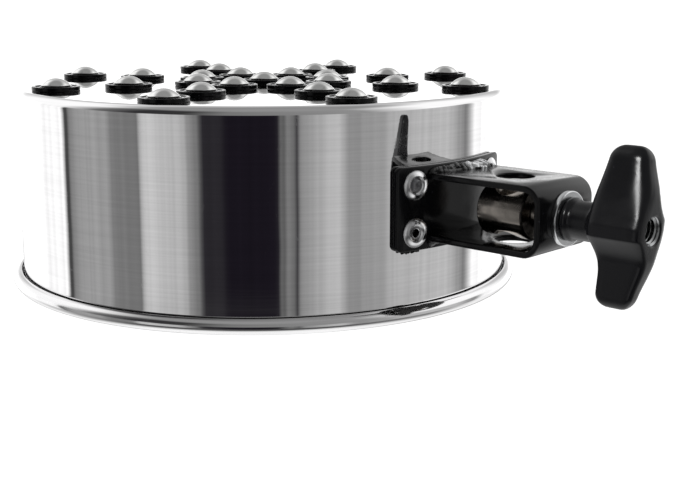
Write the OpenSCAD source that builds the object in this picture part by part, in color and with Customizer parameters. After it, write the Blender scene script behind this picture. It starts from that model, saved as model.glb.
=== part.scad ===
// A shaker that mounts on a rod: an upturned spun pan with loose rivets that rattle in a
// star of holes on its top, and a rod clamp riveted to its wall.
// Millimetres, +Z up. The origin is the middle of the clamp's rod hole. +X runs outward
// from the pan along the clamp's bolt, and the pan's own axis is parallel to Z.

/* [Pan] */
// Outer diameter of the pan's wall
pan_d = 178; // [165:1:230]
// Height from the rim's lowest point to the top face
pan_h = 70; // [58:1:100]
// Thickness of the spun sheet
sheet_t = 1.2; // [0.8:0.1:1.6]
// Outside radius of the corner between the top and the wall
pan_corner_r = 3; // [2:0.1:6]
// Diameter of the rolled bead at the rim
bead_d = 5; // [4.4:0.1:8]
// Slit left between the end of the rolled bead and the wall
bead_slit = 0.4; // [0.3:0.1:0.6]
// Drop from the top face to the clamp's bolt
bolt_drop = 33.5; // [28:0.5:45]

/* [Loose rivets] */
// Arms of the star of rivets
star_arms = 8; // [4:1:8]
// Rivets along each arm
star_rings = 3; // [1:1:3]
// Distance from the middles of the arms' last rivets to the outside of the wall
star_edge = 12.5; // [12:0.5:18]
// Diameter of a rivet's domed head
rivet_head_d = 10.4; // [9:0.1:13]
// Height of a rivet's domed head
rivet_head_h = 2.7; // [2:0.1:4]
// Diameter of a rivet's shank
rivet_shank_d = 5; // [4:0.1:6]
// Diameter of the upset end under the plate
rivet_tail_d = 8; // [7.6:0.1:11]
// Thickness of the upset end
rivet_tail_t = 1.7; // [1:0.1:3]
// How far a rivet hops before its upset end comes up to the plate
rivet_hop = 1.5; // [1:0.1:4]
// Space left over the upset end at the top of a hop
hop_margin = 0.2; // [0.1:0.05:0.5]
// Play round a shank in the pan's hole, on the radius
plate_play = 0.3; // [0.2:0.05:0.6]
// Diameter of the black washer under each head
pad_d = 16.5; // [14:0.1:17]
// Thickness of the black washer
pad_t = 1.5; // [0.8:0.1:3]
// Play round a shank in the black washer, on the radius
pad_play = 0.2; // [0.1:0.05:0.5]

/* [Bracket] */
// Distance from the pan's wall to the middle of the rod hole
rod_standoff = 24; // [22:0.5:40]
// Diameter of the rod hole
rod_hole_d = 12; // [9:0.1:13]
// Width of the bent strap
strap_w = 29; // [24:0.5:40]
// Outer height of the bent strap
strap_h = 22; // [21:0.5:28]
// Thickness of the strap
strap_t = 2; // [1.5:0.1:2.4]
// Outside radius of the strap's bends
strap_bend_r = 6; // [3.5:0.5:8]
// Distance from the middle of the rod hole to the strap's end face
strap_reach = 18.8; // [17:0.1:28]
// Thickness of the saddle plate
saddle_t = 2; // [1.5:0.1:3]
// Height of the saddle plate past the strap, above and below
saddle_margin = 2.5; // [2.5:0.1:6]
// Width of the saddle plate past its rivet heads, each side
saddle_edge = 2.2; // [1.6:0.1:6]
// Radius of the saddle plate's corners
saddle_corner_r = 2; // [1:0.1:4]
// Radius of the weld beads at the strap's root
weld_r = 1.6; // [1:0.1:2.2]
// Gap between the pan's wall and the saddle plate that hugs it
saddle_gap = 0.1; // [0.05:0.05:0.3]

/* [Bracket rivets] */
// Diameter of a bracket rivet's head
blind_head_d = 9.5; // [8:0.1:10]
// Height of a bracket rivet's head
blind_head_h = 1.7; // [1.3:0.1:3]
// Diameter of a bracket rivet's shank
blind_shank_d = 4.8; // [4:0.1:5.4]
// Diameter of the dent in a bracket rivet's head
blind_dent_d = 5.6; // [4.6:0.1:6]
// Floor of that dent above the plate
blind_dent_floor = 0.6; // [0.4:0.1:0.8]
// Bore of a bracket rivet
blind_bore_d = 2.7; // [2:0.1:3]
// Diameter of the bulge inside the pan
blind_bulge_d = 6.8; // [6:0.1:8]
// Length of the bulge inside the pan
blind_bulge_l = 3.2; // [2:0.1:6]
// Distance from the edge of the saddle plate to a rivet's middle, up and down
blind_inset = 5.9; // [5.3:0.1:7]
// Gap between the strap's edge and a rivet's head
blind_gap = 0.3; // [0.2:0.1:4]
// Play round a bracket rivet's shank in its holes, on the radius
blind_play = 0.1; // [0.05:0.05:0.2]
// Diameter of the broken pin's crown in the dent
pin_crown_d = 3.8; // [3.2:0.1:4.4]
// Height of the broken pin's crown
pin_crown_h = 0.7; // [0.4:0.1:1.2]
// Diameter of the pin's head at its inner end
pin_head_d = 4.4; // [3.4:0.1:6]
// Length of the pin's head
pin_head_l = 1.6; // [1:0.1:3]
// Play round the pin in the rivet's bore, on the radius
pin_play = 0.08; // [0.05:0.01:0.15]

/* [Bolt and washer] */
// Space between the bolt's eye and each arm of the strap
eye_play = 0.75; // [0.4:0.05:1.2]
// Metal behind the rod in the bolt's eye
eye_back_wall = 2.9; // [2:0.1:5]
// Metal in front of the rod in the bolt's eye
eye_front_wall = 2; // [1.5:0.1:3]
// Chamfer on the eye's ends
eye_chamfer = 0.6; // [0.3:0.1:1]
// Outer diameter of the bolt's thread
bolt_d = 8; // [6:0.5:9]
// Length of thread that reaches into the wing nut at rest
bolt_grip = 15.6; // [10:0.1:20]
// Chamfer on the bolt's end
bolt_chamfer = 1; // [0.5:0.1:1.5]
// Play round the bolt in the strap and the washer, on the radius
bolt_play = 0.3; // [0.2:0.05:0.6]
// Diameter of the bolt's washer
washer_d = 17; // [15:0.1:24]
// Thickness of the bolt's washer
washer_t = 1.6; // [1:0.1:3]

/* [Wing nut] */
// Diameter of the nut's hub
hub_d = 12; // [11:0.1:15]
// Length of the hub between the washer and the wings
hub_l = 9.9; // [6:0.1:16]
// Height of the collar over the hub
collar_rise = 0.75; // [0.3:0.05:1.5]
// Length of the collar
collar_l = 2; // [1:0.1:4]
// Depth of the wings along the bolt, at the hub
wing_l = 17.7; // [14:0.1:24]
// Depth of the wings along the bolt, at the tips
wing_tip_l = 10.9; // [8:0.1:11.2]
// How far the wings' outer face falls back from the boss to the tips
wing_back = 2.7; // [1:0.1:3]
// Span over both wings
wing_span = 48; // [36:0.5:64]
// Diameter of the boss between the wings
boss_d = 16; // [13:0.1:20]
// Thickness of the wings beside the boss
wing_root_w = 9.6; // [8:0.1:12]
// Thickness of the wings at the tips
wing_tip_w = 5.7; // [4:0.1:7]
// Radius of the hollow between boss and wing
wing_blend_r = 5; // [2:0.5:8]
// Radius of the wing tips' corners
wing_corner_r = 3; // [1:0.5:3.5]
// Turn of the wings from upright
wing_tilt = 9; // [-45:0.5:45]
// Play of the bolt's thread in the nut, on the radius
thread_play = 0.1; // [0.05:0.01:0.2]
// Chamfer at both ends of the nut's thread
bore_chamfer = 0.7; // [0.3:0.1:1.2]

/* [Hidden] */
$fn = 96;
// Overlap that lets a cut run past the faces it opens
cut = 1;
// Gap between curved faces that touch, so that they don't cross
seat_gap = 0.05;

pan_r = pan_d / 2;
pan_in_r = pan_r - sheet_t;
pan_x = -(pan_r + rod_standoff);
pan_top = bolt_drop;
rim_z = pan_top - pan_h;
bead_r = bead_d / 2;
bead_z = rim_z + bead_r;

stud_count = 1 + star_arms * star_rings;
ring_step = (pan_r - star_edge) / star_rings;
// The first arm lies half a step from +X, so the bracket sits between two arms
function stud_ring(i) = i == 0 ? 0 : 1 + floor((i - 1) / star_arms);
function stud_angle(i) = (360 / star_arms) * ((i - 1) % star_arms + 0.5);
function two_digits(i) = i < 10 ? str("0", i) : str(i);
function rivet_name(i) = str("rattle_rivet_", two_digits(i + 1));
function pad_name(i) = str("pad_washer_", two_digits(i + 1));

saddle_in_r = pan_r + saddle_gap;
saddle_out_r = saddle_in_r + saddle_t;
saddle_h = strap_h + 2 * saddle_margin;
blind_y = strap_w / 2 + blind_gap + blind_head_d / 2;
blind_z = saddle_h / 2 - blind_inset;
blind_angle = asin(blind_y / saddle_out_r);
saddle_w = 2 * (blind_y + blind_head_d / 2 + saddle_edge);
// How far the pan's inner face lies behind the saddle's outer face, at the bulge's edge
blind_depth = saddle_out_r - sqrt(pow(pan_in_r, 2) - pow(blind_bulge_d / 2, 2)) + seat_gap;
pin_d = blind_bore_d - 2 * pin_play;

eye_d = strap_h - 2 * strap_t - 2 * eye_play;
eye_back_x = -(rod_hole_d / 2 + eye_back_wall);
eye_front_x = rod_hole_d / 2 + eye_front_wall;
washer_x = strap_reach;
nut_x = washer_x + washer_t;
bolt_end_x = nut_x + bolt_grip;
nut_l = hub_l + wing_l;

// A dome of the given diameter and height, as half of its section
module dome_section(d, h) {
    ball_r = (pow(d / 2, 2) + pow(h, 2)) / (2 * h);
    intersection() {
        translate([0, h - ball_r]) circle(r = ball_r);
        square([d / 2, h]);
    }
}

// Puts a child at each rattle rivet's hole, on the pan's top face
module at_stud(i) {
    translate([pan_x, 0, pan_top])
        rotate([0, 0, stud_angle(i)])
            translate([stud_ring(i) * ring_step, 0, 0]) children();
}

// Puts a child on the saddle's outer face at one bracket rivet, with +Z pointing outward
module at_blind(side, level) {
    translate([pan_x, 0, level * blind_z])
        rotate([0, 0, side * blind_angle])
            translate([saddle_out_r, 0, 0])
                rotate([0, 90, 0]) children();
}

module at_blinds() {
    for (side = [-1, 1], level = [-1, 1]) at_blind(side, level) children();
}

// Holes for the bracket rivets, through the saddle plate and the pan's wall
module blind_holes() {
    depth = saddle_t + saddle_gap + sheet_t + 2 * cut;
    at_blinds() translate([0, 0, cut - depth])
        cylinder(d = blind_shank_d + 2 * blind_play, h = depth);
}

module pan_section() {
    square_top = pan_r - pan_corner_r;
    translate([0, pan_top - sheet_t]) square([square_top, sheet_t]);
    translate([square_top, pan_top - pan_corner_r]) intersection() {
        difference() {
            circle(r = pan_corner_r);
            circle(r = pan_corner_r - sheet_t);
        }
        square(pan_corner_r);
    }
    translate([pan_in_r, bead_z])
        square([sheet_t, pan_top - pan_corner_r - bead_z]);
    translate([pan_in_r + bead_r, bead_z]) difference() {
        circle(r = bead_r);
        circle(r = bead_r - sheet_t);
        translate([-bead_r, 0]) square([sheet_t + bead_slit, bead_r]);
    }
}

module pan_shell() {
    color("silver") difference() {
        translate([pan_x, 0, 0]) rotate_extrude() pan_section();
        for (i = [0 : stud_count - 1]) at_stud(i)
            translate([0, 0, -sheet_t - cut])
                cylinder(d = rivet_shank_d + 2 * plate_play, h = sheet_t + 2 * cut);
        blind_holes();
    }
}

// The loose rivet stands on its black washer, which stands on the pan
module rattle_rivet() {
    shank_l = pad_t + sheet_t + rivet_hop + hop_margin;
    color("gainsboro") {
        translate([0, 0, pad_t]) rotate_extrude() dome_section(rivet_head_d, rivet_head_h);
        translate([0, 0, pad_t - shank_l]) cylinder(d = rivet_shank_d, h = shank_l);
        translate([0, 0, pad_t - shank_l - rivet_tail_t])
            cylinder(d = rivet_tail_d, h = rivet_tail_t);
    }
}

module pad_washer() {
    color("#1a1a1a") difference() {
        cylinder(d = pad_d, h = pad_t);
        translate([0, 0, -cut]) cylinder(d = rivet_shank_d + 2 * pad_play, h = pad_t + 2 * cut);
    }
}

// Outline of a plate with round corners, centred
module round_plate(w, h, r) {
    square([w - 2 * r, h], center = true);
    square([w, h - 2 * r], center = true);
    for (x = [-1, 1], y = [-1, 1])
        translate([x * (w / 2 - r), y * (h / 2 - r)]) circle(r = r);
}

module saddle_plate() {
    color("#101010") difference() {
        intersection() {
            translate([pan_x, 0, -saddle_h / 2]) difference() {
                cylinder(r = saddle_out_r, h = saddle_h);
                translate([0, 0, -cut]) cylinder(r = saddle_in_r, h = saddle_h + 2 * cut);
            }
            translate([pan_x, 0, 0]) rotate([90, 0, 90])
                linear_extrude(saddle_out_r + cut)
                    round_plate(saddle_w, saddle_h, saddle_corner_r);
        }
        blind_holes();
    }
}

// Side outline of a bar from x0 to x1 whose far end has two round corners
module round_end(x0, x1, h, r) {
    translate([x0, -h / 2]) square([x1 - r - x0, h]);
    translate([x1 - r, -h / 2 + r]) square([r, h - 2 * r]);
    for (y = [-1, 1]) translate([x1 - r, y * (h / 2 - r)]) circle(r = r);
}

module clamp_strap() {
    bend_in_r = strap_bend_r - strap_t;
    color("#101010") difference() {
        translate([0, strap_w / 2, 0]) rotate([90, 0, 0]) linear_extrude(strap_w)
            difference() {
                round_end(pan_x, strap_reach, strap_h, strap_bend_r);
                round_end(pan_x - cut, strap_reach - strap_t, strap_h - 2 * strap_t, bend_in_r);
            }
        translate([pan_x, 0, -strap_h]) cylinder(r = saddle_out_r + seat_gap, h = 2 * strap_h);
        translate([0, 0, -strap_h]) cylinder(d = rod_hole_d, h = 2 * strap_h);
        translate([strap_reach - strap_t - cut, 0, 0]) rotate([0, 90, 0])
            cylinder(d = bolt_d + 2 * bolt_play, h = strap_t + 2 * cut);
    }
}

// One bead over the upper arm's root and one under the lower arm's
module strap_welds() {
    half_angle = asin(strap_w / 2 / saddle_out_r);
    color("#181818") for (side = [0, 1]) mirror([0, 0, side])
        translate([pan_x, 0, strap_h / 2]) rotate([0, 0, -half_angle])
            rotate_extrude(angle = 2 * half_angle)
                translate([saddle_out_r + seat_gap, 0]) intersection() {
                    circle(r = weld_r);
                    square(weld_r);
                }
}

module blind_rivet() {
    difference() {
        union() {
            rotate_extrude() dome_section(blind_head_d, blind_head_h);
            translate([0, 0, -blind_depth]) cylinder(d = blind_shank_d, h = blind_depth);
            translate([0, 0, -blind_depth - blind_bulge_l])
                cylinder(d = blind_bulge_d, h = blind_bulge_l);
        }
        translate([0, 0, blind_dent_floor]) cylinder(d = blind_dent_d, h = blind_head_h);
        translate([0, 0, -blind_depth - blind_bulge_l - cut])
            cylinder(d = blind_bore_d, h = blind_depth + blind_bulge_l + blind_head_h + cut);
    }
}

module bracket_rivets() {
    color("silver") at_blinds() blind_rivet();
}

// The broken pin left in a bracket rivet: a crown in the dent and a head inside the pan
module rivet_pin() {
    pin_l = blind_depth + blind_bulge_l + blind_dent_floor;
    translate([0, 0, blind_dent_floor]) cylinder(d = pin_crown_d, h = pin_crown_h);
    translate([0, 0, blind_dent_floor - pin_l]) cylinder(d = pin_d, h = pin_l);
    translate([0, 0, blind_dent_floor - pin_l - pin_head_l])
        cylinder(d = pin_head_d, h = pin_head_l);
}

// Three of the four rivets keep their pins
module rivet_pins() {
    color("dimgray") for (place = [[-1, 1], [1, -1], [1, 1]])
        at_blind(place[0], place[1]) rivet_pin();
}

module eyebolt() {
    color("#5b5550") difference() {
        rotate([0, 90, 0]) rotate_extrude() polygon([
            [0, eye_back_x],
            [eye_d / 2 - eye_chamfer, eye_back_x],
            [eye_d / 2, eye_back_x + eye_chamfer],
            [eye_d / 2, eye_front_x - eye_chamfer],
            [eye_d / 2 - eye_chamfer, eye_front_x],
            [bolt_d / 2, eye_front_x],
            [bolt_d / 2, bolt_end_x - bolt_chamfer],
            [bolt_d / 2 - bolt_chamfer, bolt_end_x],
            [0, bolt_end_x]
        ]);
        translate([0, 0, -eye_d]) cylinder(d = rod_hole_d, h = 2 * eye_d);
    }
}

module bolt_washer() {
    color("lightsteelblue") translate([washer_x, 0, 0]) rotate([0, 90, 0]) difference() {
        cylinder(d = washer_d, h = washer_t);
        translate([0, 0, -cut]) cylinder(d = bolt_d + 2 * bolt_play, h = washer_t + 2 * cut);
    }
}

// The nut's end outline: a boss with a tapering wing each side
module wing_outline() {
    tip_x = (wing_span - wing_tip_w) / 2;
    offset(r = -wing_blend_r, $fn = 48) offset(delta = wing_blend_r) {
        circle(d = boss_d, $fn = 64);
        for (side = [0, 1]) mirror([side, 0]) {
            polygon([
                [0, wing_root_w / 2],
                [tip_x, wing_tip_w / 2],
                [tip_x, -wing_tip_w / 2],
                [0, -wing_root_w / 2]
            ]);
            translate([tip_x, 0]) circle(d = wing_tip_w, $fn = 32);
        }
    }
}

// The wings' side outline, deeper at the boss than at the tips
module wing_side() {
    corner_x = wing_span / 2 - wing_corner_r;
    outer_z = nut_l - wing_back;
    inner_z = outer_z - wing_tip_l;
    for (side = [0, 1]) mirror([side, 0]) {
        polygon([
            [0, hub_l],
            [hub_d / 2, hub_l],
            [corner_x, inner_z],
            [wing_span / 2, inner_z + wing_corner_r],
            [wing_span / 2, outer_z - wing_corner_r],
            [corner_x, outer_z],
            [boss_d / 2, nut_l],
            [0, nut_l]
        ]);
        for (z = [inner_z + wing_corner_r, outer_z - wing_corner_r])
            translate([corner_x, z]) circle(r = wing_corner_r);
    }
}

module wing_nut() {
    bore_r = bolt_d / 2 + thread_play;
    color("#141414") translate([nut_x, 0, 0]) rotate([-wing_tilt, 0, 0]) rotate([0, 90, 0])
        difference() {
            union() {
                cylinder(d = hub_d, h = hub_l + cut);
                cylinder(d = hub_d + 2 * collar_rise, h = collar_l);
                intersection() {
                    linear_extrude(nut_l) wing_outline();
                    translate([0, wing_span / 2, 0]) rotate([90, 0, 0])
                        linear_extrude(wing_span) wing_side();
                }
            }
            translate([0, 0, -cut]) cylinder(r = bore_r, h = nut_l + 2 * cut);
            translate([0, 0, nut_l - bore_chamfer])
                cylinder(r1 = bore_r, r2 = bore_r + bore_chamfer, h = bore_chamfer);
            cylinder(r1 = bore_r + bore_chamfer, r2 = bore_r, h = bore_chamfer);
        }
}

pan_shell();
saddle_plate();
clamp_strap();
strap_welds();
bracket_rivets();
rivet_pins();
eyebolt();
bolt_washer();
wing_nut();
for (i = [0 : stud_count - 1]) {
    at_stud(i) rattle_rivet();
    at_stud(i) pad_washer();
}
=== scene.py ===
"""Dresses the frame of a mountable shaker: a spun pan whose top carries a star of loose rivets
on black washers, and a rod clamp with a bracket, an eyebolt and a wing nut on its wall."""

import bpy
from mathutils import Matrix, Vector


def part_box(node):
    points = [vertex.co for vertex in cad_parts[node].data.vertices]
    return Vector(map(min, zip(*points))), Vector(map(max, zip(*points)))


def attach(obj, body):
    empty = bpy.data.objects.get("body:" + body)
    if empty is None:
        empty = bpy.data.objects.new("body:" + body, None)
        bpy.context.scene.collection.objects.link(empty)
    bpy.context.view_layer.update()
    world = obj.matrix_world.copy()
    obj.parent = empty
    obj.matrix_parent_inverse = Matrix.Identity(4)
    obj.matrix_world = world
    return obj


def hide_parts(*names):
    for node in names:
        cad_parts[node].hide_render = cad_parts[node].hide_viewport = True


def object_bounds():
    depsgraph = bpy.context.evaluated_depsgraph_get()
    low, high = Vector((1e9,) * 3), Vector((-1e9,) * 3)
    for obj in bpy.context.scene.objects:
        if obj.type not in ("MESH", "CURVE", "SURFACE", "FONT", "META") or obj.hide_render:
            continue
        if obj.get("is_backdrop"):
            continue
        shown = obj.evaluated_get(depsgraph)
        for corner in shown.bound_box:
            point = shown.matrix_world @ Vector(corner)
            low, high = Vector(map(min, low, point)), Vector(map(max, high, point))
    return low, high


bl_info = {
    "name": "Mountable shaker",
    "version": (1, 0, 0),
    "blender": (4, 5, 0),
    "location": "3D View > Sidebar > Shaker",
    "description": "Makes the finished pieces of a mountable shaker round its frame",
    "category": "Add Mesh",
}

import inspect
import math

import bmesh
import bpy
from bpy.props import FloatProperty, FloatVectorProperty, IntProperty, PointerProperty
from bpy.types import Operator, Panel, PropertyGroup
from mathutils import Matrix, Vector, noise

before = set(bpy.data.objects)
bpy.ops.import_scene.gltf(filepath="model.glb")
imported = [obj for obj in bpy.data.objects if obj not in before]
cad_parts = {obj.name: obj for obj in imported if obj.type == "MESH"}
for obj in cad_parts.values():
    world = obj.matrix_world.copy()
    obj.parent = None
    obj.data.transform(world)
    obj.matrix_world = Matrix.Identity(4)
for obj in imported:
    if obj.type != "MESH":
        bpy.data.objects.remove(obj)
CAD_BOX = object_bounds()

ROOT_BODY = "frame"
PAN_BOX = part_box("pan_shell")
STRAP_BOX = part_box("clamp_strap")
SADDLE_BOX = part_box("saddle_plate")
BOLT_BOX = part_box("eyebolt")
WASHER_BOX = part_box("bolt_washer")
NUT_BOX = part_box("wing_nut")
PAD_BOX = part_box("pad_washer_01")
STUD_NUMBERS = range(len([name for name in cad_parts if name.startswith("pad_washer_")]))

# The outlines' arcs are stepped finely enough that no corner shows on a silhouette
ARC_STEP = math.radians(6)
MERGE_DISTANCE = 1e-6
SHARP_ANGLE = math.radians(32)
BEVEL_ANGLE = math.radians(40)
# Room between pieces that pass through each other or lie against each other
PLAY = 0.0001
# The wall's radius as a share of the saddle plate's, which draws the rivet holes in
WALL_SHARE = 0.977


def box_middle(box):
    """Middle of a box given as its lowest and highest corners."""
    return (box[0] + box[1]) / 2


# Distance from the star's middle rivet to the first one on an arm
STAR_STEP = (box_middle(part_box("pad_washer_02")) - box_middle(PAD_BOX)).length


# Properties


def length(label, text, default):
    """A length in metres."""
    return FloatProperty(name=label, description=text, default=default, min=0.0, precision=5,
                         unit="LENGTH", subtype="DISTANCE")


def whole(label, text, default, low=3):
    """A count."""
    return IntProperty(name=label, description=text, default=default, min=low)


def colour(label, text, default):
    """A colour that a finish starts from."""
    return FloatVectorProperty(name=label, description=text, default=(*default, 1.0), size=4,
                               min=0.0, max=1.0, subtype="COLOR")


class PanSizes(PropertyGroup):
    """Sizes of the spun pan."""
    axis_x: length("Axis", "Distance from the rod hole to the pan's own axis",
                   -box_middle(PAN_BOX).x)
    wall_radius: length("Wall radius", "Outer radius of the pan's wall", 0.089)
    sheet: length("Sheet", "Thickness of the spun sheet", 0.0012)
    corner_radius: length("Corner radius", "Outside radius between top and wall", 0.003)
    bead_diameter: length("Bead", "Diameter of the rolled bead at the rim", 0.005)
    bead_slit: length("Bead slit", "Slit between the end of the bead and the wall", 0.0008)
    top: length("Top", "Height of the top face over the rod hole's middle", PAN_BOX[1].z)
    rim: length("Rim drop", "Drop from the rod hole's middle to the rim", -PAN_BOX[0].z)
    segments: whole("Segments", "Faces round the pan", 288)


class StarSizes(PropertyGroup):
    """Sizes of the loose rivets and of the washers under them."""
    arms: whole("Arms", "Arms of the star", 8)
    rings: whole("Rings", "Rivets along each arm", 3, 1)
    step: length("Step", "Distance between rivets along an arm", STAR_STEP)
    head_diameter: length("Head", "Diameter of the domed head", 0.0104)
    head_height: length("Head height", "Height of the domed head", 0.0027)
    head_edge: length("Head edge", "Radius of the head's lower edge", 0.00032)
    shank_radius: length("Shank radius", "Radius of the shank", 0.0025)
    tail_diameter: length("Tail", "Diameter of the upset end", 0.008)
    tail_height: length("Tail height", "Thickness of the upset end", 0.0017)
    tail_drop: length("Tail drop", "Space between the plate and the upset end", 0.0017)
    hole_radius: length("Hole radius", "Radius of the holes in the pan's top", 0.0028)
    pad_diameter: length("Washer", "Diameter of the black washer",
                         PAD_BOX[1].x - PAD_BOX[0].x)
    pad_height: length("Washer thickness", "Thickness of the black washer",
                       PAD_BOX[1].z - PAD_BOX[0].z)
    pad_hole_radius: length("Washer hole", "Radius of the washer's hole", 0.0027)
    pad_edge: length("Washer edge", "Radius of the washer's edges", 0.00028)
    segments: whole("Segments", "Faces round a rivet", 64)


class BracketSizes(PropertyGroup):
    """Sizes of the saddle plate, the bent strap, its welds and its rivets."""
    strap_thickness: length("Strap", "Thickness of the strap", 0.002)
    bend_radius: length("Bend radius", "Outside radius of the strap's bends", 0.006)
    rod_hole: length("Rod hole", "Diameter of the rod hole", 0.012)
    bolt_hole: length("Bolt hole", "Diameter of the bolt's hole in the strap", 0.0086)
    edge_radius: length("Edge radius", "Radius of the painted edges", 0.00045)
    saddle_thickness: length("Saddle", "Thickness of the saddle plate", 0.002)
    saddle_gap: length("Saddle gap", "Gap between the wall and the saddle plate", 0.0001)
    saddle_corner: length("Saddle corner", "Radius of the saddle plate's corners", 0.002)
    weld_radius: length("Weld", "Mean radius of the weld beads", 0.0016)
    rivet_side: length("Rivet side", "Distance of the rivets from the bracket's middle plane",
                       0.01955)
    rivet_level: length("Rivet level", "Height of the rivets over the bolt", 0.0076)
    rivet_head: length("Rivet head", "Diameter of a bracket rivet's head", 0.0095)
    rivet_rise: length("Rivet rise", "Height of a bracket rivet's head", 0.0017)
    dent: length("Dent", "Diameter of the dent in the rivet's head", 0.0056)
    dent_floor: length("Dent floor", "Height of the dent's floor over the plate", 0.0006)
    rivet_bore: length("Rivet bore", "Diameter of the bracket rivet's bore", 0.0027)
    rivet_shank: length("Rivet shank", "Diameter of the bracket rivet's shank", 0.0048)
    bulge: length("Bulge", "Diameter of the rivet's bulge inside the pan", 0.0068)
    bulge_length: length("Bulge length", "Length of the rivet's bulge inside the pan", 0.0032)


class BoltSizes(PropertyGroup):
    """Sizes of the eyebolt, its washer and the wing nut."""
    thread_diameter: length("Thread", "Outer diameter of the thread", 0.008)
    pitch: length("Pitch", "Pitch of the thread", 0.00125)
    eye_front: length("Eye front", "Distance from the rod hole's middle to the eye's outer end",
                      0.008)
    eye_chamfer: length("Eye chamfer", "Chamfer on the eye's ends", 0.0006)
    washer_hole: length("Washer hole", "Diameter of the washer's hole", 0.0086)
    hub_diameter: length("Hub", "Diameter of the nut's hub", 0.012)
    hub_length: length("Hub length", "Length of the hub under the wings", 0.0094)
    collar_rise: length("Collar rise", "Height of the collar over the hub", 0.00075)
    collar_length: length("Collar length", "Length of the collar", 0.002)
    wing_span: length("Span", "Span over both wings", 0.048)
    wing_depth: length("Wing depth", "Depth of the wings at the boss, along the bolt", 0.0186)
    tip_depth: length("Tip depth", "Depth of the wings at the tips, along the bolt", 0.0118)
    tip_fall: length("Tip fall", "How far the outer face falls back to the tips", 0.0034)
    boss_diameter: length("Boss", "Diameter of the boss between the wings", 0.016)
    root_width: length("Root width", "Thickness of the wings at the boss", 0.0066)
    tip_width: length("Tip width", "Thickness of the wings at the tips", 0.0057)
    wing_tilt: FloatProperty(name="Tilt", description="Turn of the wings from upright",
                             default=math.radians(9), subtype="ANGLE")


class Finishes(PropertyGroup):
    """Colours that the finishes start from."""
    pan_metal: colour("Pan", "Polished aluminium", (0.86, 0.855, 0.86))
    rivet_metal: colour("Loose rivets", "Satin aluminium", (0.84, 0.84, 0.83))
    washer_plastic: colour("Black washers", "Glossy black plastic", (0.004, 0.004, 0.0045))
    paint: colour("Bracket paint", "Gloss black paint", (0.003, 0.003, 0.0035))
    bracket_rivet: colour("Bracket rivets", "Pressed aluminium", (0.78, 0.78, 0.79))
    broken_pin: colour("Broken pins", "Dull steel", (0.30, 0.30, 0.31))
    bolt_plating: colour("Bolt", "Dark nickel plating", (0.46, 0.42, 0.38))
    zinc: colour("Bolt washer", "Bright zinc", (0.76, 0.77, 0.78))
    casting: colour("Wing nut", "Satin black casting", (0.004, 0.004, 0.005))
    floor: colour("Floor", "Pale studio floor", (0.93, 0.93, 0.93))


PROPERTY_GROUPS = {
    "shaker_pan": PanSizes,
    "shaker_star": StarSizes,
    "shaker_bracket": BracketSizes,
    "shaker_bolt": BoltSizes,
    "shaker_finishes": Finishes,
}


# Node trees

FLOAT, VECTOR, GEOMETRY, MATERIAL, ROTATION = (
    "NodeSocket" + kind for kind in ("Float", "Vector", "Geometry", "Material", "Rotation"))
# The socket that an input gets from its default's type
SOCKETS = {float: FLOAT, int: "NodeSocketInt", tuple: VECTOR}
ORIGIN = (0.0, 0.0, 0.0)


def socket(sockets, key):
    """The socket of that name that is in use, or the one at that place."""
    if isinstance(key, int):
        return sockets[key]
    return next(s for s in sockets if s.name == key and s.enabled)


class Value:
    """An output of a node. Calculating with it adds Math nodes to its tree."""

    def __init__(self, nodes, output):
        self.nodes, self.output = nodes, output

    def __getitem__(self, key):
        """Another output of the same node."""
        return Value(self.nodes, socket(self.output.node.outputs, key))

    def math(self, operation, *others):
        """The result of a Math node that starts with this value."""
        return self.nodes.add("ShaderNodeMath", dict(enumerate((self, *others))),
                              operation=operation)

    def __add__(self, other):
        return self.math("ADD", other)

    def __sub__(self, other):
        return self.math("SUBTRACT", other)

    def __mul__(self, other):
        return self.math("MULTIPLY", other)

    def __truediv__(self, other):
        return self.math("DIVIDE", other)


class Nodes:
    """A node tree that is laid out by calls, each of which adds a node."""

    def __init__(self, tree):
        self.tree = tree

    def put(self, value, target):
        """Links a value to an input, or sets the input to a constant."""
        if isinstance(value, Value):
            self.tree.links.new(value.output, target)
        else:
            target.default_value = value

    def add(self, kind, inputs=None, **options):
        """The first output of a new node, its inputs given by name or by place."""
        node = self.tree.nodes.new(kind)
        for name, value in options.items():
            setattr(node, name, value)
        for key, value in (inputs or {}).items():
            self.put(value, socket(node.inputs, key))
        return Value(self, next(s for s in node.outputs if s.enabled))

    def join(self, x=0.0, y=0.0, z=0.0):
        """A vector from its three parts."""
        return self.add("ShaderNodeCombineXYZ", {"X": x, "Y": y, "Z": z})

    def split(self, vector):
        """A vector's parts, as X, Y and Z."""
        return self.add("ShaderNodeSeparateXYZ", {"Vector": vector})

    def vector(self, operation, *values, **named):
        """The result of a Vector Math node."""
        return self.add("ShaderNodeVectorMath", {**dict(enumerate(values)), **named},
                        operation=operation)

    def noise(self, place, scale, **more):
        """The value of a Noise Texture."""
        return self.add("ShaderNodeTexNoise", {"Vector": place, "Scale": scale, **more})

    def mapped(self, value, *limits, **options):
        """A value carried from between two limits to between the next two, or to 0 to 1."""
        return self.add("ShaderNodeMapRange", dict(enumerate((value, *limits))), **options)

    def eased(self, value, start, end):
        """Eases from 0 to 1 as a value goes from one limit to the other."""
        return self.mapped(value, start, end, interpolation_type="SMOOTHSTEP")

    def mixed(self, factor, first, second):
        """Two colours mixed by a factor."""
        return self.add("ShaderNodeMix", {"Factor": factor, "A": first, "B": second},
                        data_type="RGBA")

    def finished(self, geometry, finish):
        """Real geometry in its finish, which ends the tree of every piece."""
        real = self.add("GeometryNodeRealizeInstances", {"Geometry": geometry})
        return self.add("GeometryNodeSetMaterial", {"Geometry": real, "Material": finish})


def title(key):
    """The name that Blender shows for a keyword."""
    return key.replace("_", " ").capitalize()


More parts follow.
